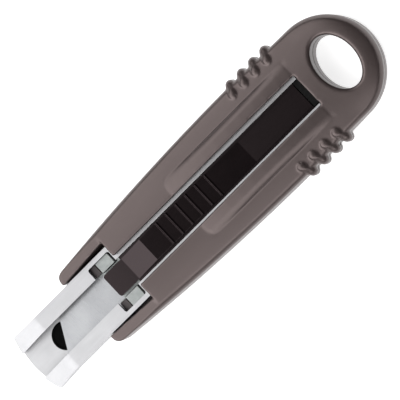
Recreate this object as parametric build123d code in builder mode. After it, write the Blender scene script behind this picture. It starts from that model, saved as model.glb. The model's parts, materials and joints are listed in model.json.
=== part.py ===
from build123d import *
import os

os.makedirs("parts", exist_ok=True)

# Auto-retracting utility knife. Millimetres. It lies on its back with the slider on top:
# +X is the nose, +Z is up, and the origin is under the middle of the handle, at the table.

# ---- driving dimensions -------------------------------------------------------------------
NOSE_X = 75.0                 # tip of the steel nose
BUTT_X = -75.0                # end of the handle

# handle, seen from above
PRONG_X = 48.6                # front of the two prongs
MOUTH_X = 29.9                # where the handle's top starts
MOUTH_FLARE = 1.3             # the prongs stand off the channel by this much there
WIDEST_X = -30.0
TAPER_X = -57.4               # centre of the round butt
PRONG_HALF = 14.3
PRONG_ROUND = 2.8             # the prongs' outer corners
PRONG_STEP = 1.1              # the prongs start this far below the handle's top
MIDDLE_X = 10.0
MIDDLE_HALF = 17.15
WIDEST_HALF = 18.2
BUTT_RADIUS = 17.6
BODY_TOP = 12.6               # height at the slot
CROWN_RADIUS = 95.0           # the top is slightly crowned across
PRONG_TOP = 10.6
PARTING_Z = 6.6               # the two shells meet here
EDGE_RADIUS = 1.9
WALL = 2.2

# steel channel
SHEET = 0.8
CHANNEL_HALF = 10.4
CHANNEL_Z = 3.6               # underside of its floor
CHANNEL_TOP = 9.2
LIP_GAP = 10.3                # between the two folded lips
FOLD_RADIUS = 0.9
CHANNEL_REAR_X = -52.3
BEND_X = 64.0                 # the nose is pressed flat from here on
NOSE_TOP = 6.5
NOSE_HALF = 11.0
NOSE_ARC_RADIUS = 28.6
LIP_REAR_X = -49.3
NOTCH_FRONT_X = 39.9
NOTCH_REAR_X = 30.8
NOTCH_HALF = 8.9
NOTCH_ROUND = 0.7
FLOOR_HOLE_X = 60.6
FLOOR_HOLE_RADIUS = 4.7
PLUG_FLANGE_RADIUS = 5.5
PLUG_FLANGE_HEIGHT = 1.0
PLUG_RECESS = 0.1
PLUG_RIM = 0.6
PLUG_DISH = 0.3

# slot in the top of the handle, and the raised thumb rests along it
SLOT_HALF = 6.1
SLOT_REAR_X = -49.9
REST_FRONT_X = 2.9
REST_REAR_X = -49.4
REST_HALF = 11.5
REST_ROUND = 3.4              # corners of its front end
REST_EDGE = 0.35
REST_HEIGHT = 1.15            # it stands this far above the handle at its middle
REST_ARCH = 315.0             # radius of its arched top, lengthwise

# hollows in the shells' side walls
CORE_FRONT_X = 29.0
CORE_REAR_X = -48.0
CORE_TOP = 8.6
CORE_FRONT_HALF = 13.4
CORE_HALF = 15.3

# ribs on the edges
RIB_RADIUS = 1.6
RIB_FIRST_X = -32.7
RIB_PITCH = 4.95
RIB_COUNT = 4
RIB_PROUD = 0.15              # its centre line stands this far outside the handle
RIB_WRAP = 3.0                # how far it reaches in over the handle
RIB_LEAN = 0.6
RIB_END_DROP = 2.0            # its ends lie this far inside the top and the underside
RIB_CORNER_DROP = 3.6
RIB_BEND = 1.7

# hang hole
HOLE_X = -62.0
HOLE_HALF_X = 6.5
HOLE_HALF_Y = 9.4
HOLE_ROUND = 0.9

# blade
BLADE_HALF = 9.0
BLADE_TIP_X = 66.2
BLADE_SLANT = 10.4            # the tip leads the other corner by this much
BLADE_LENGTH = 50.0
BLADE_THICK = 0.6
BLADE_Z = 4.7
BLADE_BEVEL_DEPTH = 0.25
BLADE_BEVEL_WIDTH = 1.4
STUD_X = (35.0, 22.0)
STUD_RADIUS = 1.9

# carrier and slider
CARRIER_Z = 5.3
CARRIER_TOP = 6.2
CARRIER_HALF = 9.2
CARRIER_FRONT_X = 39.8
CARRIER_REAR_X = -8.0
CARRIER_ROUND = 1.0
CARRIER_GAP_HALF = 5.0        # the carrier is cut back between its two front horns
EAR_FRONT_X = 37.2
EAR_REAR_X = 31.6
EAR_TOP = 7.9
EAR_Y = 7.1
EAR_ROUND = 0.4
SHOE_Y = 7.3
SHOE_TOP = 7.6
SHOE_ROUND = 0.3
TONGUE_X = -12.5
TONGUE_HALF = 2.5
TONGUE_ROUND = 1.5
SLIDER_HALF = 4.3
FLANGE_HALF = 9.0
FLANGE_TOP = 8.1
FLANGE_FRONT_X = 30.0
SLIDER_FRONT_X = 37.8
SLIDER_REAR_X = -47.2
BLOCK_TOP = 8.6
BLOCK_ROUND = 0.9
CREST_TOP = 10.8              # the slider is highest in front of the thumb
TAIL_TOP = 8.9
RIDGE_FIRST_X = 13.2
RIDGE_PITCH = 4.25
RIDGE_COUNT = 6
RIDGE_HEIGHT = 0.45
RIDGE_BASE_HALF = 0.55
RIDGE_CREST_HALF = 0.15
RIDGE_ROOT = 0.1              # sunk into the slider by this much
RAMP_FRONT_X = 29.5
CREST_X = 20.6
TAIL_FRONT_X = -22.7
TUNNEL_FRONT_X = -7.5
TUNNEL_HALF = 2.2
RIVET_X = (12.0, -3.0)
RIVET_RADIUS = 1.5

# spring
SPRING_RADIUS = 1.5
SPRING_WIRE = 0.4
SPRING_Z = 6.5
HOOK_X = -10.0
HOOK_RADIUS = 0.9
HOOK_TOP = 7.3
HOOK_HEAD_RADIUS = 1.4
HOOK_HEAD_HEIGHT = 0.5
LOOP_RADIUS = 1.25
COIL_FRONT_X = -13.5
COIL_REAR_X = -46.4
ANCHOR_X = -49.9
ANCHOR_RADIUS = 0.9
BUMPER_FRONT_X = -47.5
BUMPER_NOTCH_X = -51.6
BUMPER_NOTCH_TOP = 8.15
BUMPER_ROOF_HALF = 4.8

# fasteners
SCREW_PLACES = [(x, side * y) for x, y in ((23.0, 13.5), (-24.0, 14.4)) for side in (1, -1)]
SCREW_RADIUS = 1.1
SCREW_HEAD_RADIUS = 2.2
SCREW_HEAD_HEIGHT = 1.5
SCREW_HEAD_GAP = 0.2
RECESS_LENGTH = 2.4
RECESS_WIDTH = 0.5
RECESS_DEPTH = 0.9
SCREW_SEAT_Z = 2.6
SCREW_TIP_Z = 10.0
BOSS_RADIUS = 2.9
CHANNEL_RIVET_X = (-20.0, 20.0)
CHANNEL_RIVET_RADIUS = 1.5
RIVET_SHANK_RADIUS = 1.1
RIVET_SHANK_DEPTH = 2.4

CAVITY_HALF = CHANNEL_HALF + 0.1
CAVITY_REAR_X = CHANNEL_REAR_X - 0.3
CAVITY_TOP = CHANNEL_TOP + 0.1


def save(part, name):
    part.label = name
    export_step(part, f"parts/{name}.step")


# ---- handle envelope: both shells in one, before it is parted ------------------------------
with BuildPart() as envelope:
    with BuildSketch(Plane.XY) as outline:
        with BuildLine():
            upper_side = ThreePointArc(
                (PRONG_X, PRONG_HALF), (MIDDLE_X, MIDDLE_HALF), (WIDEST_X, WIDEST_HALF)
            )
            upper_taper = Spline(
                (WIDEST_X, WIDEST_HALF),
                (TAPER_X, BUTT_RADIUS),
                tangents=[upper_side % 1, (-1, 0)],
            )
            butt = ThreePointArc((TAPER_X, BUTT_RADIUS), (BUTT_X, 0), (TAPER_X, -BUTT_RADIUS))
            mirror(upper_taper, about=Plane.XZ)
            mirror(upper_side, about=Plane.XZ)
            Line((PRONG_X, PRONG_HALF), (PRONG_X, -PRONG_HALF))
        make_face()
        fillet(outline.vertices().group_by(Axis.X)[-1], PRONG_ROUND)
    extrude(amount=BODY_TOP + 1)
    # crowned top
    with BuildSketch(Plane.YZ.offset(BUTT_X - 5)):
        with Locations((0, BODY_TOP - CROWN_RADIUS)):
            Circle(CROWN_RADIUS)
    extrude(amount=NOSE_X - BUTT_X, mode=Mode.INTERSECT)
    fillet(envelope.faces().sort_by(Axis.Z)[-1].edges(), EDGE_RADIUS)
    fillet(envelope.faces().sort_by(Axis.Z)[0].edges(), EDGE_RADIUS)
    # the prongs slope down to the front and stand lower than the handle's top
    with BuildSketch(Plane.XZ):
        with BuildLine():
            Polyline(
                (MOUTH_X, BODY_TOP + 2),
                (MOUTH_X, BODY_TOP - PRONG_STEP),
                (PRONG_X + 1, PRONG_TOP),
                (PRONG_X + 1, BODY_TOP + 2),
                close=True,
            )
        make_face()
    extrude(amount=2 * MIDDLE_HALF, both=True, mode=Mode.SUBTRACT)
    # hang hole with rounded rims
    with BuildSketch(Plane.XY.offset(-1)):
        with Locations((HOLE_X, 0)):
            Ellipse(HOLE_HALF_X, HOLE_HALF_Y)
    extrude(amount=BODY_TOP + 3, mode=Mode.SUBTRACT)
    rims = envelope.edges().filter_by(
        lambda edge: abs(edge.bounding_box().size.Y - 2 * HOLE_HALF_Y) < 0.01
        and abs(edge.bounding_box().size.X - 2 * HOLE_HALF_X) < 0.01
    )
    fillet(rims, HOLE_ROUND)

# thumb rests: a low arched strip around the slot, crowned across like the handle
rest_mid_x = (REST_FRONT_X + REST_REAR_X) / 2
with BuildPart() as thumb_rests:
    with BuildSketch(Plane.XY.offset(BODY_TOP - 3 * REST_HEIGHT)) as rest_plan:
        with Locations((rest_mid_x, 0)):
            Rectangle(REST_FRONT_X - REST_REAR_X, 2 * REST_HALF)
        fillet(rest_plan.vertices().group_by(Axis.X)[-1], REST_ROUND)
    extrude(amount=5 * REST_HEIGHT)
    arch_centre = Plane(
        origin=(rest_mid_x, 0, BODY_TOP + REST_HEIGHT - REST_ARCH), z_dir=(0, 1, 0)
    )
    with Locations(arch_centre):
        Torus(REST_ARCH - CROWN_RADIUS, CROWN_RADIUS, mode=Mode.INTERSECT)
    fillet(thumb_rests.faces().sort_by(Axis.Z)[-1].edges(), REST_EDGE)

# one grip rib: a round bar that wraps over the edge of the handle, leaning back outwards
with BuildPart() as rib:
    with BuildLine() as rib_path:
        FilletPolyline(
            (RIB_LEAN, WIDEST_HALF - RIB_WRAP, BODY_TOP - RIB_END_DROP),
            (-RIB_LEAN, WIDEST_HALF + RIB_PROUD, BODY_TOP - RIB_CORNER_DROP),
            (-RIB_LEAN, WIDEST_HALF + RIB_PROUD, RIB_CORNER_DROP),
            (RIB_LEAN, WIDEST_HALF - RIB_WRAP, RIB_END_DROP),
            radius=RIB_BEND,
        )
    with BuildSketch(Plane(origin=rib_path.wire() @ 0, z_dir=rib_path.wire() % 0)):
        Circle(RIB_RADIUS)
    sweep()
    with Locations(rib_path.wire() @ 0, rib_path.wire() @ 1):
        Sphere(RIB_RADIUS)

with BuildPart() as ribbed:
    add(envelope.part)
    for index in range(RIB_COUNT):
        rib_x = RIB_FIRST_X - index * RIB_PITCH
        with Locations((rib_x, 0, 0)):
            add(rib.part)
            add(rib.part.mirror(Plane.XZ))
    add(thumb_rests.part)
    # slot for the slider
    with BuildSketch(Plane.XY.offset(CAVITY_TOP - 1)):
        with Locations(((PRONG_X + SLOT_REAR_X) / 2, 0)):
            Rectangle(PRONG_X - SLOT_REAR_X, 2 * SLOT_HALF)
    extrude(amount=BODY_TOP, mode=Mode.SUBTRACT)
    # track for the steel channel, open above the prongs' base and in front
    with BuildSketch(Plane.XY.offset(CHANNEL_Z)):
        with Locations(((NOSE_X + CAVITY_REAR_X) / 2, 0)):
            Rectangle(NOSE_X - CAVITY_REAR_X, 2 * CAVITY_HALF)
    extrude(amount=CAVITY_TOP - CHANNEL_Z, mode=Mode.SUBTRACT)
    with BuildSketch(Plane.XY.offset(CHANNEL_Z)):
        with BuildLine():
            Polyline(
                (MOUTH_X, CAVITY_HALF + MOUTH_FLARE),
                (PRONG_X + 5, CAVITY_HALF),
                (PRONG_X + 5, -CAVITY_HALF),
                (MOUTH_X, -CAVITY_HALF - MOUTH_FLARE),
                close=True,
            )
        make_face()
    extrude(amount=BODY_TOP, mode=Mode.SUBTRACT)


# hollow each side wall between the screw bosses
def core_outline(low_z):
    with BuildSketch(Plane.XY.offset(low_z)) as outline:
        for side in (1, -1):
            with BuildLine():
                Polyline(
                    (CORE_FRONT_X, side * (CAVITY_HALF + WALL)),
                    (CORE_FRONT_X, side * CORE_FRONT_HALF),
                    (WIDEST_X, side * CORE_HALF),
                    (CORE_REAR_X, side * CORE_HALF),
                    (CORE_REAR_X, side * (CAVITY_HALF + WALL)),
                    close=True,
                )
            make_face()
        with Locations(*SCREW_PLACES):
            Circle(BOSS_RADIUS, mode=Mode.SUBTRACT)
    return outline.sketch


with BuildPart() as grip_upper_shell:
    add(ribbed.part)
    split(bisect_by=Plane.XY.offset(PARTING_Z), keep=Keep.TOP)
    extrude(core_outline(PARTING_Z), amount=CORE_TOP - PARTING_Z, mode=Mode.SUBTRACT)
    with Locations(*[(x, y, PARTING_Z) for x, y in SCREW_PLACES]):
        Hole(SCREW_RADIUS, depth=SCREW_TIP_Z - PARTING_Z)

with BuildPart() as grip_lower_shell:
    add(ribbed.part)
    split(bisect_by=Plane.XY.offset(PARTING_Z), keep=Keep.BOTTOM)
    extrude(core_outline(WALL), amount=PARTING_Z - WALL, mode=Mode.SUBTRACT)
    for x, y in SCREW_PLACES:
        with BuildSketch(Plane.XY):
            with Locations((x, y)):
                Circle(SCREW_HEAD_RADIUS + SCREW_HEAD_GAP)
        extrude(amount=SCREW_SEAT_Z, mode=Mode.SUBTRACT)
        with BuildSketch(Plane.XY):
            with Locations((x, y)):
                Circle(SCREW_RADIUS)
        extrude(amount=PARTING_Z, mode=Mode.SUBTRACT)
    for x in CHANNEL_RIVET_X:
        with BuildSketch(Plane.XY.offset(CHANNEL_Z)):
            with Locations((x, 0)):
                Circle(RIVET_SHANK_RADIUS)
        extrude(amount=-RIVET_SHANK_DEPTH, mode=Mode.SUBTRACT)

save(grip_upper_shell.part, "grip_upper_shell")
save(grip_lower_shell.part, "grip_lower_shell")


# ---- steel channel -------------------------------------------------------------------------
def channel_section(x, half, top):
    """A C with its lips folded in, standing across the knife at x."""
    with BuildSketch(Plane.YZ.offset(x)) as section:
        with BuildLine():
            Polyline(
                (half, CHANNEL_Z),
                (half, top),
                (LIP_GAP / 2, top),
                (LIP_GAP / 2, top - SHEET),
                (half - SHEET, top - SHEET),
                (half - SHEET, CHANNEL_Z + SHEET),
                (SHEET - half, CHANNEL_Z + SHEET),
                (SHEET - half, top - SHEET),
                (-LIP_GAP / 2, top - SHEET),
                (-LIP_GAP / 2, top),
                (-half, top),
                (-half, CHANNEL_Z),
                close=True,
            )
        make_face()
        outer = [v for v in section.vertices() if abs(abs(v.Y) - half) < 0.01]
        fillet(outer, FOLD_RADIUS)
    return section.sketch


with BuildPart() as guide_channel:
    extrude(
        channel_section(CHANNEL_REAR_X, CHANNEL_HALF, CHANNEL_TOP),
        amount=BEND_X - CHANNEL_REAR_X,
        dir=(1, 0, 0),
    )
    loft(
        [
            channel_section(BEND_X, CHANNEL_HALF, CHANNEL_TOP).face(),
            channel_section(NOSE_X, NOSE_HALF, NOSE_TOP).face(),
        ],
        ruled=True,
    )
    # the nose ends in a shallow arc
    with BuildSketch(Plane.XY):
        with Locations((NOSE_X, 0)):
            Rectangle(NOSE_X - BEND_X, 3 * NOSE_HALF)
        with Locations((NOSE_X - NOSE_ARC_RADIUS, 0)):
            Circle(NOSE_ARC_RADIUS, mode=Mode.SUBTRACT)
    extrude(amount=2 * CHANNEL_TOP, mode=Mode.SUBTRACT)
    # round hole in the floor, and the seats of the two rivets
    with BuildSketch(Plane.XY):
        with Locations((FLOOR_HOLE_X, 0)):
            Circle(FLOOR_HOLE_RADIUS)
        with Locations(*[(x, 0) for x in CHANNEL_RIVET_X]):
            Circle(CHANNEL_RIVET_RADIUS)
    extrude(amount=CHANNEL_Z + 2 * SHEET, mode=Mode.SUBTRACT)
    # the lips are notched beside the slider's front block, and stop short at the back
    with BuildSketch(Plane.XY.offset(CHANNEL_TOP - 1.5 * SHEET)):
        with Locations(((NOTCH_FRONT_X + NOTCH_REAR_X) / 2, 0)):
            RectangleRounded(NOTCH_FRONT_X - NOTCH_REAR_X, 2 * NOTCH_HALF, NOTCH_ROUND)
        with Locations((CHANNEL_REAR_X, 0)):
            Rectangle(2 * (LIP_REAR_X - CHANNEL_REAR_X), 2 * NOTCH_HALF)
    extrude(amount=3 * SHEET, mode=Mode.SUBTRACT)
    # cross hole for the spring's anchor
    with BuildSketch(Plane.XZ.offset(-2 * CHANNEL_HALF)):
        with Locations((ANCHOR_X, SPRING_Z)):
            Circle(ANCHOR_RADIUS)
    extrude(amount=4 * CHANNEL_HALF, mode=Mode.SUBTRACT)
save(guide_channel.part, "guide_channel")

# ---- blade ---------------------------------------------------------------------------------
blade_rear_x = BLADE_TIP_X - BLADE_LENGTH
with BuildPart() as blade:
    with BuildSketch(Plane.XY.offset(BLADE_Z)):
        with BuildLine():
            Polyline(
                (BLADE_TIP_X, BLADE_HALF),
                (BLADE_TIP_X - BLADE_SLANT, -BLADE_HALF),
                (blade_rear_x, -BLADE_HALF),
                (blade_rear_x, BLADE_HALF),
                close=True,
            )
        make_face()
        with Locations(*[(x, 0) for x in STUD_X]):
            Circle(STUD_RADIUS, mode=Mode.SUBTRACT)
    extrude(amount=BLADE_THICK)
    cutting_edge = blade.edges().filter_by(Axis.X).group_by(Axis.Y)[-1]
    chamfer(cutting_edge, BLADE_BEVEL_DEPTH, BLADE_BEVEL_WIDTH)
save(blade.part, "blade")

# ---- carrier and what is fastened to it ----------------------------------------------------
with BuildPart() as blade_carrier:
    with BuildSketch(Plane.XY.offset(CARRIER_Z)):
        with Locations(((CARRIER_FRONT_X + CARRIER_REAR_X) / 2, 0)):
            RectangleRounded(CARRIER_FRONT_X - CARRIER_REAR_X, 2 * CARRIER_HALF, CARRIER_ROUND)
        with Locations((CARRIER_REAR_X, 0)):
            RectangleRounded(2 * (CARRIER_REAR_X - TONGUE_X), 2 * TONGUE_HALF, TONGUE_ROUND)
        with Locations((CARRIER_FRONT_X, 0)):
            Rectangle(
                2 * (CARRIER_FRONT_X - SLIDER_FRONT_X), 2 * CARRIER_GAP_HALF, mode=Mode.SUBTRACT
            )
    extrude(amount=CARRIER_TOP - CARRIER_Z)
    # two raised ears under the notches of the channel's lips
    with BuildSketch(Plane.XY.offset(CARRIER_TOP)):
        with Locations(*[((EAR_FRONT_X + EAR_REAR_X) / 2, side * EAR_Y) for side in (1, -1)]):
            Rectangle(EAR_FRONT_X - EAR_REAR_X, 2 * (CARRIER_HALF - EAR_Y))
    extrude(amount=EAR_TOP - CARRIER_TOP)
    fillet(blade_carrier.faces().sort_by(Axis.Z)[-2:].edges(), EAR_ROUND)
    with BuildSketch(Plane.XY.offset(CARRIER_Z)):
        with Locations(*[(x, 0) for x in STUD_X]):
            Circle(STUD_RADIUS)
        with Locations(*[(x, 0) for x in RIVET_X]):
            Circle(RIVET_RADIUS)
        with Locations((HOOK_X, 0)):
            Circle(HOOK_RADIUS)
    extrude(amount=CARRIER_TOP - CARRIER_Z, mode=Mode.SUBTRACT)
save(blade_carrier.part, "blade_carrier")

with BuildPart() as blade_studs:
    with BuildSketch(Plane.XY.offset(BLADE_Z)):
        with Locations(*[(x, 0) for x in STUD_X]):
            Circle(STUD_RADIUS)
    extrude(amount=CARRIER_TOP - BLADE_Z)
save(blade_studs.part, "blade_studs")

with BuildPart() as slider_rivets:
    with BuildSketch(Plane.XY.offset(CARRIER_Z)):
        with Locations(*[(x, 0) for x in RIVET_X]):
            Circle(RIVET_RADIUS)
    extrude(amount=FLANGE_TOP - CARRIER_Z)
save(slider_rivets.part, "slider_rivets")

with BuildPart() as spring_hook_stud:
    with BuildSketch(Plane.XY.offset(CARRIER_Z)):
        with Locations((HOOK_X, 0)):
            Circle(HOOK_RADIUS)
    extrude(amount=HOOK_TOP - CARRIER_Z)
    with BuildSketch(Plane.XY.offset(HOOK_TOP)):
        with Locations((HOOK_X, 0)):
            Circle(HOOK_HEAD_RADIUS)
    extrude(amount=HOOK_HEAD_HEIGHT)
save(spring_hook_stud.part, "spring_hook_stud")

# low-friction shoes in front of the ears
for side, name in ((1, "glide_shoe_left"), (-1, "glide_shoe_right")):
    with BuildPart() as glide_shoe:
        with BuildSketch(Plane.XY.offset(CARRIER_TOP)):
            with Locations(((CARRIER_FRONT_X + EAR_FRONT_X) / 2, side * SHOE_Y)):
                Rectangle(CARRIER_FRONT_X - EAR_FRONT_X, 2 * (CARRIER_HALF - SHOE_Y))
        extrude(amount=SHOE_TOP - CARRIER_TOP)
        fillet(glide_shoe.faces().sort_by(Axis.Z)[-1].edges(), SHOE_ROUND)
    save(glide_shoe.part, name)

# ---- thumb slider --------------------------------------------------------------------------
def slope_z(x):
    """Height of the slider's long rear slope at x."""
    return TAIL_TOP + (CREST_TOP - TAIL_TOP) * (x - TAIL_FRONT_X) / (CREST_X - TAIL_FRONT_X)


with BuildPart() as thumb_slider:
    with BuildSketch(Plane.XZ.offset(-SLIDER_HALF)):
        with BuildLine():
            Polyline(
                (SLIDER_FRONT_X, CARRIER_TOP),
                (SLIDER_FRONT_X, BLOCK_TOP),
                (RAMP_FRONT_X, BLOCK_TOP),
                (CREST_X, CREST_TOP),
                (TAIL_FRONT_X, TAIL_TOP),
                (SLIDER_REAR_X, TAIL_TOP),
                (SLIDER_REAR_X, CARRIER_TOP),
                close=True,
            )
        make_face()
        for index in range(RIDGE_COUNT):
            ridge_x = RIDGE_FIRST_X - index * RIDGE_PITCH
            foot_z = slope_z(ridge_x) - RIDGE_ROOT
            with BuildLine():
                Polyline(
                    (ridge_x + RIDGE_BASE_HALF, foot_z),
                    (ridge_x + RIDGE_CREST_HALF, foot_z + RIDGE_HEIGHT),
                    (ridge_x - RIDGE_CREST_HALF, foot_z + RIDGE_HEIGHT),
                    (ridge_x - RIDGE_BASE_HALF, foot_z),
                    close=True,
                )
            make_face()
    extrude(amount=2 * SLIDER_HALF)
    front_corners = thumb_slider.edges().filter_by(Axis.Z).group_by(Axis.X)[-1]
    fillet(front_corners, BLOCK_ROUND)
    # flange that runs under the channel's lips
    with BuildSketch(Plane.XY.offset(CARRIER_TOP)):
        with Locations(((FLANGE_FRONT_X + SLIDER_REAR_X) / 2, 0)):
            Rectangle(FLANGE_FRONT_X - SLIDER_REAR_X, 2 * FLANGE_HALF)
    extrude(amount=FLANGE_TOP - CARRIER_TOP)
    # tunnel for the spring along the underside, and blind holes for the rivets
    with BuildSketch(Plane.XY.offset(CARRIER_TOP)):
        with Locations(((TUNNEL_FRONT_X + SLIDER_REAR_X) / 2, 0)):
            Rectangle(TUNNEL_FRONT_X - SLIDER_REAR_X, 2 * TUNNEL_HALF)
        with Locations(*[(x, 0) for x in RIVET_X]):
            Circle(RIVET_RADIUS)
    extrude(amount=FLANGE_TOP - CARRIER_TOP, mode=Mode.SUBTRACT)
save(thumb_slider.part, "thumb_slider")

# ---- spring, its anchor and the stop -------------------------------------------------------
with BuildPart() as return_spring:
    with BuildSketch(Plane.YZ.offset(COIL_REAR_X)):
        with Locations((0, SPRING_Z)):
            Circle(SPRING_RADIUS)
    extrude(amount=COIL_FRONT_X - COIL_REAR_X)
    with BuildSketch(Plane.YZ.offset(ANCHOR_X + LOOP_RADIUS)):
        with Locations((0, SPRING_Z)):
            Circle(SPRING_WIRE / 2)
    extrude(amount=HOOK_X - ANCHOR_X - 2 * LOOP_RADIUS)
    with Locations(Plane(origin=(HOOK_X, 0, SPRING_Z))):
        Torus(LOOP_RADIUS, SPRING_WIRE / 2)
    with Locations(Plane(origin=(ANCHOR_X, 0, SPRING_Z), z_dir=(0, 1, 0))):
        Torus(LOOP_RADIUS, SPRING_WIRE / 2)
save(return_spring.part, "return_spring")

with BuildPart() as spring_anchor_pin:
    with BuildSketch(Plane.XZ.offset(-CHANNEL_HALF)):
        with Locations((ANCHOR_X, SPRING_Z)):
            Circle(ANCHOR_RADIUS)
    extrude(amount=2 * CHANNEL_HALF)
save(spring_anchor_pin.part, "spring_anchor_pin")

with BuildPart() as rear_bumper:
    with BuildSketch(Plane.XY.offset(CHANNEL_Z + SHEET)):
        with Locations(((BUMPER_FRONT_X + CHANNEL_REAR_X) / 2, 0)):
            Rectangle(BUMPER_FRONT_X - CHANNEL_REAR_X, 2 * (CHANNEL_HALF - SHEET))
    extrude(amount=CHANNEL_TOP - CHANNEL_Z - 2 * SHEET)
    # roof that fills the gap between the lips
    with BuildSketch(Plane.XY.offset(CHANNEL_TOP - SHEET)):
        with Locations(((BUMPER_FRONT_X + CHANNEL_REAR_X) / 2, 0)):
            Rectangle(BUMPER_FRONT_X - CHANNEL_REAR_X, 2 * BUMPER_ROOF_HALF)
    extrude(amount=SHEET)
    # notch under it for the spring's loop
    with BuildSketch(Plane.XY.offset(CHANNEL_Z + SHEET)):
        with Locations((BUMPER_FRONT_X, 0)):
            Rectangle(2 * (BUMPER_FRONT_X - BUMPER_NOTCH_X), 2 * TUNNEL_HALF)
    extrude(amount=BUMPER_NOTCH_TOP - CHANNEL_Z - SHEET, mode=Mode.SUBTRACT)
    with BuildSketch(Plane.XZ.offset(-CHANNEL_HALF)):
        with Locations((ANCHOR_X, SPRING_Z)):
            Circle(ANCHOR_RADIUS)
    extrude(amount=2 * CHANNEL_HALF, mode=Mode.SUBTRACT)
save(rear_bumper.part, "rear_bumper")

# plug that closes the hole in the channel's floor: a flange under it and a dished face
with BuildPart() as nose_plug:
    with BuildSketch(Plane.XY.offset(CHANNEL_Z - PLUG_FLANGE_HEIGHT)):
        with Locations((FLOOR_HOLE_X, 0)):
            Circle(PLUG_FLANGE_RADIUS)
    extrude(amount=PLUG_FLANGE_HEIGHT)
    with BuildSketch(Plane.XY.offset(CHANNEL_Z)):
        with Locations((FLOOR_HOLE_X, 0)):
            Circle(FLOOR_HOLE_RADIUS)
    extrude(amount=SHEET - PLUG_RECESS)
    with BuildSketch(Plane.XY.offset(CHANNEL_Z + SHEET - PLUG_RECESS)):
        with Locations((FLOOR_HOLE_X, 0)):
            Circle(FLOOR_HOLE_RADIUS - PLUG_RIM)
    extrude(amount=-PLUG_DISH, mode=Mode.SUBTRACT)
save(nose_plug.part, "nose_plug")

# ---- fasteners -----------------------------------------------------------------------------
with BuildPart() as channel_rivets:
    with BuildSketch(Plane.XY.offset(CHANNEL_Z)):
        with Locations(*[(x, 0) for x in CHANNEL_RIVET_X]):
            Circle(CHANNEL_RIVET_RADIUS)
    extrude(amount=SHEET)
    with BuildSketch(Plane.XY.offset(CHANNEL_Z)):
        with Locations(*[(x, 0) for x in CHANNEL_RIVET_X]):
            Circle(RIVET_SHANK_RADIUS)
    extrude(amount=-RIVET_SHANK_DEPTH)
save(channel_rivets.part, "channel_rivets")

with BuildPart() as case_screws:
    with BuildSketch(Plane.XY.offset(SCREW_SEAT_Z)):
        with Locations(*SCREW_PLACES):
            Circle(SCREW_HEAD_RADIUS)
    extrude(amount=-SCREW_HEAD_HEIGHT)
    with BuildSketch(Plane.XY.offset(SCREW_SEAT_Z)):
        with Locations(*SCREW_PLACES):
            Circle(SCREW_RADIUS)
    extrude(amount=SCREW_TIP_Z - SCREW_SEAT_Z)
    # cross recess in each head
    with BuildSketch(Plane.XY.offset(SCREW_SEAT_Z - SCREW_HEAD_HEIGHT)):
        with Locations(*SCREW_PLACES):
            Rectangle(RECESS_LENGTH, RECESS_WIDTH)
            Rectangle(RECESS_WIDTH, RECESS_LENGTH)
    extrude(amount=RECESS_DEPTH, mode=Mode.SUBTRACT)
save(case_screws.part, "case_screws")
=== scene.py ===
import json
import math

import bmesh
import bpy
import numpy
from mathutils import Matrix, Vector


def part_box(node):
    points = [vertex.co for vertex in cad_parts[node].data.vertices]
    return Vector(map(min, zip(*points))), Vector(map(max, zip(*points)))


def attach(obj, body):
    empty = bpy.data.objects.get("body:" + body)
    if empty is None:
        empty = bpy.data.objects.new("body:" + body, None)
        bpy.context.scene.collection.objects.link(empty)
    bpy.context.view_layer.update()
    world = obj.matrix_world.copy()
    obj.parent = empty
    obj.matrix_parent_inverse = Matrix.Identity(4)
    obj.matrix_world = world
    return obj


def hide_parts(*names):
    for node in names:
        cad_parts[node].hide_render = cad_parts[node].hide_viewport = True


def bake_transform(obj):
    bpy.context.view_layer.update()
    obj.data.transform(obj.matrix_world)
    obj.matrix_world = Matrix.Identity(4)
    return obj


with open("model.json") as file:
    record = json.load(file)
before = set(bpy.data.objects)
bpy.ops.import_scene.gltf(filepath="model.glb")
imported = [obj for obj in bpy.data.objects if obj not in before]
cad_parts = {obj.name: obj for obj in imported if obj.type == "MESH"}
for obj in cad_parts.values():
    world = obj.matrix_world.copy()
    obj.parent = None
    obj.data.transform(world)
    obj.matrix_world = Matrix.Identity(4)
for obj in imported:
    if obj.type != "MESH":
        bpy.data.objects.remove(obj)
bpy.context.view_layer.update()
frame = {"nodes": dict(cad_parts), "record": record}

MM = 0.001

# the handle's outline, for rounding its top: half-widths along the knife, in millimetres
OUTLINE_X = (-57.4, -30.0, 10.0, 48.6)
OUTLINE_HALF = (17.6, 18.2, 17.15, 14.3)
HANDLE_TOP = 12.6
SHOULDER_WIDTH = 1.35           # from the outline in to the crease along the shoulder
SHOULDER_DROP = 0.35
RING_WIDTH = 5.4                # the ring round the hang hole is rounded over this width
RING_DROP = 1.05

# the thumb rests beside the slider, in millimetres
REST_HALF = 11.5
REST_FRONT_X = 2.9
REST_REAR_X = -49.4
REST_FOOT_Z = 11.8
REST_ROLL = 2.2                 # their outer edges are rolled over within this width
REST_ROLL_SHARE = 0.6           # and lose this share of their height there
REST_SOFTENING = 8              # rounds of smoothing

# the grip ribs on the handle's edges
RIBS_FRONT_X = -29.5
RIBS_REAR_X = -51.0
RIBS_INNER_Y = 14.5
RIB_SOFTENING = 2

# meshes of the two shells: voxels small enough for the ribs and the rests
UPPER_VOXEL = 0.32 * MM
LOWER_VOXEL = 0.36 * MM
MOULD_SMOOTHING = 3

# hard parts: the width of their broken edges, and the soft bend in the channel's nose
CHANNEL_EDGE = 0.12 * MM
SLIDER_EDGE = 0.08 * MM
CARRIER_EDGE = 0.1 * MM
NOSE_BEND_X = 64 * MM
NOSE_BEND_WIDTH = 1.5 * MM
FACET_CREASE = math.radians(1.5)

# return spring, in millimetres
WIRE_RADIUS = 0.2
COIL_RADIUS = 1.28
COIL_PITCH = 0.95
LOOP_RADIUS = 1.25
LOOP_NECK = 1.2                 # from each loop to the first turn
TURN_STEPS = 14
LOOP_STEPS = 15

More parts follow.
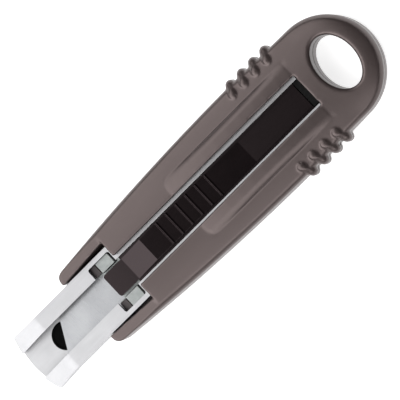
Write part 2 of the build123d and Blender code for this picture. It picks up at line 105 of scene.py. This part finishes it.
# light tent, as radiances: a broad front and two sides, dark overhead, behind and low down
TENT_DARK = 0.09
TENT_BRIGHT = 2.65
SIDE_SHARE = 0.75               # how much of the front's light the sides give
KEY_PLACE = (0.45, 0.05, 0.6)
KEY_SIZE = 0.6
KEY_POWER = 1.0

FLOOR_HALF = 4.0
FLOOR_GLOW = 0.8

CAMERA_TARGET = (-0.001, -0.0001, 0.006)
CAMERA_LEAN_BACK = math.radians(12)
CAMERA_LEAN_SIDE = math.radians(7)
CAMERA_ROLL = math.radians(44.65)
CAMERA_DISTANCE = 0.8
CAMERA_VIEW_WIDTH = 0.1236


# ---- node helpers --------------------------------------------------------------------------
def new_material(name, color, roughness, metallic=0.0):
    """A material with one Principled shader, and its node tree."""
    material = bpy.data.materials.new(name)
    material.use_nodes = True
    tree = material.node_tree
    shader = tree.nodes["Principled BSDF"]
    shader.inputs["Base Color"].default_value = (*color, 1)
    shader.inputs["Roughness"].default_value = roughness
    shader.inputs["Metallic"].default_value = metallic
    return material, tree, shader


def mapped(tree, scale):
    """Object coordinates stretched by a scale per axis, in cycles per metre."""
    coordinates = tree.nodes.new("ShaderNodeTexCoord")
    mapping = tree.nodes.new("ShaderNodeMapping")
    mapping.inputs["Scale"].default_value = scale
    tree.links.new(coordinates.outputs["Object"], mapping.inputs["Vector"])
    return mapping.outputs["Vector"]


def noise(tree, scale, detail=4.0, roughness=0.55):
    """Fractal noise over object coordinates."""
    node = tree.nodes.new("ShaderNodeTexNoise")
    node.inputs["Scale"].default_value = 1.0
    node.inputs["Detail"].default_value = detail
    node.inputs["Roughness"].default_value = roughness
    tree.links.new(mapped(tree, scale), node.inputs["Vector"])
    return node.outputs["Fac"]


def math_node(tree, operation, *values):
    """The result of a Math node over sockets or plain numbers."""
    node = tree.nodes.new("ShaderNodeMath")
    node.operation = operation
    for socket, value in zip(node.inputs, values):
        if hasattr(value, "is_linked"):
            tree.links.new(value, socket)
        else:
            socket.default_value = value
    return node.outputs["Value"]


def remap(tree, value, low, high, from_low=0.3, from_high=0.7, smooth=False):
    """A value carried from one range to another, clamped."""
    node = tree.nodes.new("ShaderNodeMapRange")
    node.interpolation_type = "SMOOTHSTEP" if smooth else "LINEAR"
    node.inputs["From Min"].default_value = from_low
    node.inputs["From Max"].default_value = from_high
    node.inputs["To Min"].default_value = low
    node.inputs["To Max"].default_value = high
    tree.links.new(value, node.inputs["Value"])
    return node.outputs["Result"]


def blend_colors(tree, factor, first, second):
    """A colour between two colours, by a factor."""
    node = tree.nodes.new("ShaderNodeMix")
    node.data_type = "RGBA"
    for socket, color in ((node.inputs[6], first), (node.inputs[7], second)):
        if hasattr(color, "is_linked"):
            tree.links.new(color, socket)
        else:
            socket.default_value = (*color, 1)
    tree.links.new(factor, node.inputs["Factor"])
    return node.outputs[2]


def bump(tree, shader, height, distance, strength=1.0):
    """Relief from a height value, its depth in metres."""
    node = tree.nodes.new("ShaderNodeBump")
    node.inputs["Distance"].default_value = distance
    node.inputs["Strength"].default_value = strength
    tree.links.new(height, node.inputs["Height"])
    tree.links.new(node.outputs["Normal"], shader.inputs["Normal"])


# ---- materials -----------------------------------------------------------------------------
def grip_plastic():
    """Warm grey moulded plastic with a fine spark-eroded grain."""
    material, tree, shader = new_material("grip_plastic", (0.03, 0.025, 0.024), 0.34)
    shader.inputs["Specular IOR Level"].default_value = 0.9
    shader.inputs["Specular Tint"].default_value = (1.0, 0.83, 0.81, 1)
    mottle = remap(tree, noise(tree, (60, 90, 90), 5), 0, 1)
    color = blend_colors(tree, mottle, (0.036, 0.027, 0.026), (0.043, 0.033, 0.032))
    tree.links.new(color, shader.inputs["Base Color"])
    rough = remap(tree, noise(tree, (900, 900, 900), 3), 0.29, 0.35)
    tree.links.new(rough, shader.inputs["Roughness"])
    bump(tree, shader, noise(tree, (3600, 3600, 3600), 1), 0.00001, 0.25)
    return material


def channel_steel():
    """Bright stainless sheet, finely brushed along its length."""
    material, tree, shader = new_material("channel_steel", (0.5, 0.5, 0.51), 0.46, 1.0)
    brush = noise(tree, (120, 9000, 9000), 3)
    tree.links.new(remap(tree, brush, 0.40, 0.54), shader.inputs["Roughness"])
    stain = remap(tree, noise(tree, (140, 170, 170), 4), 0, 1)
    color = blend_colors(tree, stain, (0.41, 0.41, 0.42), (0.45, 0.45, 0.46))
    tree.links.new(color, shader.inputs["Base Color"])
    bump(tree, shader, brush, 0.000004, 0.5)
    return material


def blade_steel():
    """Ground tool steel: grinding marks across the blade."""
    material, tree, shader = new_material("blade_steel", (0.6, 0.6, 0.62), 0.3, 1.0)
    grind = noise(tree, (9000, 160, 160), 3)
    tree.links.new(remap(tree, grind, 0.24, 0.42), shader.inputs["Roughness"])
    cloud = remap(tree, noise(tree, (160, 120, 120), 4), 0, 1)
    color = blend_colors(tree, cloud, (0.29, 0.294, 0.305), (0.345, 0.35, 0.36))
    tree.links.new(color, shader.inputs["Base Color"])
    bump(tree, shader, grind, 0.000004, 0.5)
    return material


def plated_steel(name, low, high, roughness):
    """Zinc-plated or plain small steel parts, with cloudy plating."""
    material, tree, shader = new_material(name, low, roughness, 1.0)
    cloud = remap(tree, noise(tree, (500, 500, 500), 4), 0, 1)
    tree.links.new(blend_colors(tree, cloud, low, high), shader.inputs["Base Color"])
    rough = remap(tree, noise(tree, (1500, 1500, 1500), 3), roughness - 0.08, roughness + 0.08)
    tree.links.new(rough, shader.inputs["Roughness"])
    bump(tree, shader, noise(tree, (4000, 4000, 4000), 2), 0.000006, 0.4)
    return material


def dark_plastic(name, low, high, roughness, gloss=0.5, tint=(1.0, 1.0, 1.0)):
    """Near-black moulded plastic or rubber with faint scuffs."""
    material, tree, shader = new_material(name, low, roughness)
    shader.inputs["Specular IOR Level"].default_value = gloss
    shader.inputs["Specular Tint"].default_value = (*tint, 1)
    cloud = remap(tree, noise(tree, (150, 300, 300), 5), 0, 1)
    tree.links.new(blend_colors(tree, cloud, low, high), shader.inputs["Base Color"])
    rough = remap(tree, noise(tree, (700, 1600, 700), 4), 0.85 * roughness, 1.15 * roughness)
    tree.links.new(rough, shader.inputs["Roughness"])
    bump(tree, shader, noise(tree, (3500, 3500, 3500), 2), 0.00001, 0.3)
    return material


finishes = {
    "grip_plastic": grip_plastic(),
    "channel_steel": channel_steel(),
    "blade_steel": blade_steel(),
    "carrier_steel": plated_steel("carrier_steel", (0.24, 0.255, 0.25), (0.295, 0.31, 0.305), 0.42),
    "stud_steel": plated_steel("stud_steel", (0.5, 0.5, 0.51), (0.62, 0.62, 0.63), 0.32),
    "screw_steel": plated_steel("screw_steel", (0.3, 0.3, 0.31), (0.4, 0.4, 0.41), 0.36),
    "spring_steel": plated_steel("spring_steel", (0.5, 0.5, 0.51), (0.62, 0.62, 0.63), 0.28),
    "slider_plastic": dark_plastic(
        "slider_plastic", (0.003, 0.002, 0.0022), (0.0045, 0.003, 0.0033), 0.13,
        gloss=0.32, tint=(1.0, 0.8, 0.83),
    ),
    "shoe_plastic": dark_plastic("shoe_plastic", (0.028, 0.020, 0.021), (0.040, 0.030, 0.031), 0.45),
    # nose plug: near black and almost unreflecting, painted shade for the dark seen down the hole in
    # the channel's floor
    "plug_plastic": dark_plastic(
        "plug_plastic", (0.001, 0.001, 0.001), (0.002, 0.002, 0.002), 0.4, gloss=0.03
    ),
    "bumper_rubber": dark_plastic(
        "bumper_rubber", (0.004, 0.004, 0.004), (0.007, 0.007, 0.007), 0.7, gloss=0.1
    ),
}
for part in frame["record"]["subparts"]:
    node = frame["nodes"][part["node"]]
    finish = finishes[part["material_slot"]]
    if not node.material_slots:
        node.data.materials.append(finish)
    for slot in node.material_slots:
        slot.material = finish


# ---- pieces that refine the CAD shapes ------------------------------------------------------
def working_copy(node, name):
    """An unparented copy of a CAD node's mesh, without its normals and welded for modifiers."""
    source = frame["nodes"][node]
    mesh = source.data.copy()
    mesh.transform(source.matrix_world)
    for attribute in ("custom_normal", "sharp_edge", "sharp_face"):
        layer = mesh.attributes.get(attribute)
        if layer is not None:
            mesh.attributes.remove(layer)
    shape = bmesh.new()
    shape.from_mesh(mesh)
    bmesh.ops.remove_doubles(shape, verts=shape.verts, dist=0.0005 * MM)
    shape.to_mesh(mesh)
    shape.free()
    piece = bpy.data.objects.new(name, mesh)
    bpy.context.scene.collection.objects.link(piece)
    return piece


def apply_modifiers(piece):
    """The piece's modifiers worked into its mesh."""
    depsgraph = bpy.context.evaluated_depsgraph_get()
    mesh = bpy.data.meshes.new_from_object(piece.evaluated_get(depsgraph))
    piece.modifiers.clear()
    piece.data = mesh


def finish_piece(piece, node, body):
    """The piece gets its CAD node's finish and body, and the node is hidden."""
    subparts = frame["record"]["subparts"]
    slot = next(part["material_slot"] for part in subparts if part["node"] == node)
    piece.data.materials.clear()
    piece.data.materials.append(finishes[slot])
    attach(piece, body)
    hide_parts(node)


def ease_in(value, low, high):
    """0 below low, 1 above high, smooth between."""
    step = numpy.clip((value - low) / (high - low), 0, 1)
    return step * step * (3 - 2 * step)


def outline_depth(x, y):
    """How far a point, in millimetres, lies inside the handle's outline."""
    sides = numpy.polyval(numpy.polyfit(OUTLINE_X, OUTLINE_HALF, 3), x) - numpy.abs(y)
    butt = OUTLINE_HALF[0] - numpy.hypot(x - OUTLINE_X[0], y)
    return numpy.where(x > OUTLINE_X[0], sides, butt)


def vertex_points(piece):
    """The piece's vertices as rows of x, y and z in millimetres."""
    points = numpy.empty(3 * len(piece.data.vertices))
    piece.data.vertices.foreach_get("co", points)
    return points.reshape(-1, 3) / MM


def move_points(piece, points):
    """The piece's vertices set to rows of x, y and z in millimetres."""
    piece.data.vertices.foreach_set("co", (points * MM).ravel())


def rest_edges(x, y, z):
    """True along the outer edges and the front ends of the thumb rests."""
    side = numpy.abs(y)
    beside = (numpy.abs(side - REST_HALF) < 0.9) & (x > REST_REAR_X) & (x < REST_FRONT_X + 1)
    ahead = (numpy.abs(x - REST_FRONT_X) < 3.5) & (side < REST_HALF + 1) & (side > 7)
    return (beside | ahead) & (z > HANDLE_TOP - 1.5)


def ribs(x, y, z):
    """True on the grip ribs."""
    return (x > RIBS_REAR_X) & (x < RIBS_FRONT_X) & (numpy.abs(y) > RIBS_INNER_Y)


def rolled_rests(x, y, z):
    """Heights with the outer edges of the thumb rests rolled over towards their foot."""
    rolled = numpy.clip((numpy.abs(y) - REST_HALF + REST_ROLL) / REST_ROLL, 0, 1) ** 2
    rear = ease_in(x, REST_REAR_X - 2, REST_REAR_X)
    front = ease_in(-x, -REST_FRONT_X - 0.5, 2.5 - REST_FRONT_X)
    height = numpy.clip(z - REST_FOOT_Z, 0, None)
    return z - REST_ROLL_SHARE * rolled * (rear * front) * height


def soften(piece, region, rounds):
    """Smooth only the vertices that the region function picks."""
    chosen = numpy.flatnonzero(region(*vertex_points(piece).T))
    if not len(chosen):
        return
    group = piece.vertex_groups.new(name="softened")
    group.add([int(index) for index in chosen], 1.0, "REPLACE")
    smooth = piece.modifiers.new("soften", "SMOOTH")
    smooth.factor = 0.5
    smooth.iterations = rounds
    smooth.vertex_group = group.name
    apply_modifiers(piece)
    piece.vertex_groups.clear()


def moulded_shell(node, voxel):
    """A grip shell with eased edges, a soft shoulder crease and a rounded ring."""
    piece = working_copy(node, f"{node}_moulding")
    remesh = piece.modifiers.new("remesh", "REMESH")
    remesh.mode = "VOXEL"
    remesh.voxel_size = voxel
    remesh.adaptivity = 0.0
    smooth = piece.modifiers.new("smooth", "SMOOTH")
    smooth.factor = 0.5
    smooth.iterations = MOULD_SMOOTHING
    apply_modifiers(piece)
    points = vertex_points(piece)
    points[:, 2] = rolled_rests(*points.T)
    move_points(piece, points)
    soften(piece, rest_edges, REST_SOFTENING)
    soften(piece, ribs, RIB_SOFTENING)
    points = vertex_points(piece)
    x, y, z = points.T
    depth = numpy.clip(outline_depth(x, y), 0, None)
    shoulder = SHOULDER_DROP * numpy.clip(1 - depth / SHOULDER_WIDTH, 0, 1)
    shoulder = shoulder * ease_in(x, 45, 25)
    ring = RING_DROP * numpy.clip(1 - depth / RING_WIDTH, 0, 1) ** 2 * ease_in(-x, 50, 64)
    near_top = ease_in(z, HANDLE_TOP - 4.5, HANDLE_TOP - 1.0)
    near_bottom = ease_in(-z, -4.0, -1.0)
    points[:, 2] = numpy.clip(z + (shoulder + ring) * (near_bottom - near_top), 0, None)
    move_points(piece, points)
    piece.data.shade_smooth()
    finish_piece(piece, node, "handle")


def eased_part(node, body, width, bend_x=None, facets=False):
    """A hard part with its sharp edges broken, softly bent at bend_x if it is given.

    With facets, even its flattest creases stay crisp.
    """
    piece = working_copy(node, f"{node}_eased")
    shape = bmesh.new()
    shape.from_mesh(piece.data)
    bmesh.ops.dissolve_limit(
        shape, angle_limit=math.radians(0.4), verts=shape.verts, edges=shape.edges
    )
    if bend_x is not None:
        bend = shape.edges.layers.float.new("bevel_weight_edge")
        for edge in shape.edges:
            if all(abs(vertex.co.x - bend_x) < 0.01 * MM for vertex in edge.verts):
                edge[bend] = 1.0
    shape.to_mesh(piece.data)
    shape.free()
    piece.data.shade_smooth()
    if bend_x is not None:
        soft_bend = piece.modifiers.new("soft bend", "BEVEL")
        soft_bend.width = NOSE_BEND_WIDTH
        soft_bend.segments = 4
        soft_bend.limit_method = "WEIGHT"
    bevel = piece.modifiers.new("bevel", "BEVEL")
    bevel.width = width
    bevel.segments = 2
    bevel.limit_method = "ANGLE"
    bevel.angle_limit = math.radians(25)
    if not facets:
        normals = piece.modifiers.new("normals", "WEIGHTED_NORMAL")
        normals.weight = 100
    apply_modifiers(piece)
    if facets:
        piece.data.set_sharp_from_angle(angle=FACET_CREASE)
    finish_piece(piece, node, body)


def spring_coil():
    """The return spring: close turns of wire with a loop at each end."""
    low, high = (Vector(corner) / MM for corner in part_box("return_spring"))
    centre_z = (low.z + high.z) / 2
    rear = low.x + 2 * LOOP_RADIUS + LOOP_NECK
    front = high.x - 2 * LOOP_RADIUS - LOOP_NECK
    coil_steps = TURN_STEPS * round((front - rear) / COIL_PITCH)
    points = []
    for step in range(LOOP_STEPS + 1):      # the rear loop, upright round the anchor pin
        turn = math.pi * (0.1 + 1.9 * step / LOOP_STEPS)
        along = low.x + WIRE_RADIUS + LOOP_RADIUS * (1 - math.cos(turn))
        points.append((along, 0, centre_z + LOOP_RADIUS * math.sin(turn)))
    for step in range(coil_steps + 1):
        turn = 2 * math.pi * step / TURN_STEPS
        along = rear + (front - rear) * step / coil_steps
        points.append((along, COIL_RADIUS * math.sin(turn), centre_z + COIL_RADIUS * math.cos(turn)))
    for step in range(LOOP_STEPS + 1):      # the front loop, flat round the hook stud
        turn = math.pi * (1.0 - 1.9 * step / LOOP_STEPS)
        along = high.x - WIRE_RADIUS - LOOP_RADIUS + LOOP_RADIUS * math.cos(turn)
        points.append((along, LOOP_RADIUS * math.sin(turn), centre_z))
    curve = bpy.data.curves.new("return_spring_wire", "CURVE")
    curve.dimensions = "3D"
    curve.bevel_depth = WIRE_RADIUS * MM
    curve.bevel_resolution = 3
    curve.resolution_u = 2
    curve.use_fill_caps = True
    line = curve.splines.new("NURBS")
    line.points.add(len(points) - 1)
    for point, place in zip(line.points, points):
        point.co = (*(Vector(place) * MM), 1)
    line.order_u = 3
    line.use_endpoint_u = True
    wire_object = bpy.data.objects.new("return_spring_wire", curve)
    mesh = bpy.data.meshes.new_from_object(wire_object)
    bpy.data.objects.remove(wire_object)
    piece = bpy.data.objects.new("return_spring_coil", mesh)
    bpy.context.scene.collection.objects.link(piece)
    mesh.materials.clear()
    mesh.materials.append(finishes["spring_steel"])
    mesh.shade_smooth()
    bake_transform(piece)
    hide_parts("return_spring")


moulded_shell("grip_upper_shell", UPPER_VOXEL)
moulded_shell("grip_lower_shell", LOWER_VOXEL)
eased_part("guide_channel", "handle", CHANNEL_EDGE, bend_x=NOSE_BEND_X)
eased_part("thumb_slider", "slide", SLIDER_EDGE, facets=True)
eased_part("blade_carrier", "slide", CARRIER_EDGE)
spring_coil()


# ---- floor, light and camera ---------------------------------------------------------------
def floor():
    """A pale seamless table top."""
    mesh = bpy.data.meshes.new("floor")
    corners = [(x * FLOOR_HALF, y * FLOOR_HALF, 0) for x, y in ((-1, -1), (1, -1), (1, 1), (-1, 1))]
    mesh.from_pydata(corners, [], [(0, 1, 2, 3)])
    piece = bpy.data.objects.new("floor", mesh)
    bpy.context.scene.collection.objects.link(piece)
    material, tree, shader = new_material("table", (0.7, 0.7, 0.7), 0.8)
    shader.inputs["Emission Color"].default_value = (1, 1, 1, 1)
    shader.inputs["Emission Strength"].default_value = FLOOR_GLOW
    speckle = remap(tree, noise(tree, (400, 400, 400), 3), 0, 1)
    tree.links.new(
        blend_colors(tree, speckle, (0.69, 0.69, 0.69), (0.71, 0.71, 0.71)),
        shader.inputs["Base Color"],
    )
    mesh.materials.append(material)


def area_light(name, location, target, size, power):
    """A square soft box that points at the target."""
    data = bpy.data.lights.new(name, "AREA")
    data.size = size
    data.energy = power
    lamp = bpy.data.objects.new(name, data)
    lamp.location = location
    lamp.rotation_euler = (Vector(target) - Vector(location)).to_track_quat("-Z", "Y").to_euler()
    bpy.context.scene.collection.objects.link(lamp)


def camera(target, lean_back, lean_side, distance, view_width, roll):
    """A camera over the knife, leaning towards its butt and its +Y side."""
    away = Vector((-math.tan(lean_back), math.tan(lean_side), 1.0)).normalized()
    data = bpy.data.cameras.new("camera")
    data.sensor_width = 36.0
    data.lens = 36.0 * distance / view_width
    data.clip_start = 0.01
    data.clip_end = 20
    eye = bpy.data.objects.new("camera", data)
    up = Vector((-math.sin(roll), -math.cos(roll), 0.0))
    up = (up - up.dot(away) * away).normalized()
    right = up.cross(away)
    eye.matrix_world = Matrix.Translation(Vector(target) + away * distance) @ Matrix(
        (right, up, away)
    ).transposed().to_4x4()
    bpy.context.scene.collection.objects.link(eye)
    bpy.context.scene.camera = eye


def studio_world():
    """A light tent: bright in front and at both sides, dark overhead, behind and low down."""
    world = bpy.data.worlds.new("studio")
    world.use_nodes = True
    tree = world.node_tree
    direction = tree.nodes.new("ShaderNodeTexCoord")
    split = tree.nodes.new("ShaderNodeSeparateXYZ")
    tree.links.new(direction.outputs["Generated"], split.inputs["Vector"])
    side = math_node(tree, "ABSOLUTE", split.outputs["Y"])
    reach = math_node(tree, "MULTIPLY_ADD", side, SIDE_SHARE, split.outputs["X"])
    panel = remap(tree, reach, 0, 1, from_low=0.15, from_high=0.6, smooth=True)
    height = remap(tree, split.outputs["Z"], 0, 1, from_low=0.15, from_high=0.8, smooth=True)
    lit = math_node(tree, "MULTIPLY", panel, height)
    strength = remap(tree, lit, TENT_DARK, TENT_BRIGHT, from_low=0, from_high=1)
    tree.links.new(strength, tree.nodes["Background"].inputs["Strength"])
    tree.nodes["Background"].inputs["Color"].default_value = (1, 1, 1, 1)
    bpy.context.scene.world = world


floor()
studio_world()
area_light("key", KEY_PLACE, (0, 0, 0), KEY_SIZE, KEY_POWER)
bpy.context.scene.view_settings.view_transform = "Standard"
camera(
    CAMERA_TARGET, CAMERA_LEAN_BACK, CAMERA_LEAN_SIDE,
    CAMERA_DISTANCE, CAMERA_VIEW_WIDTH, CAMERA_ROLL,
)
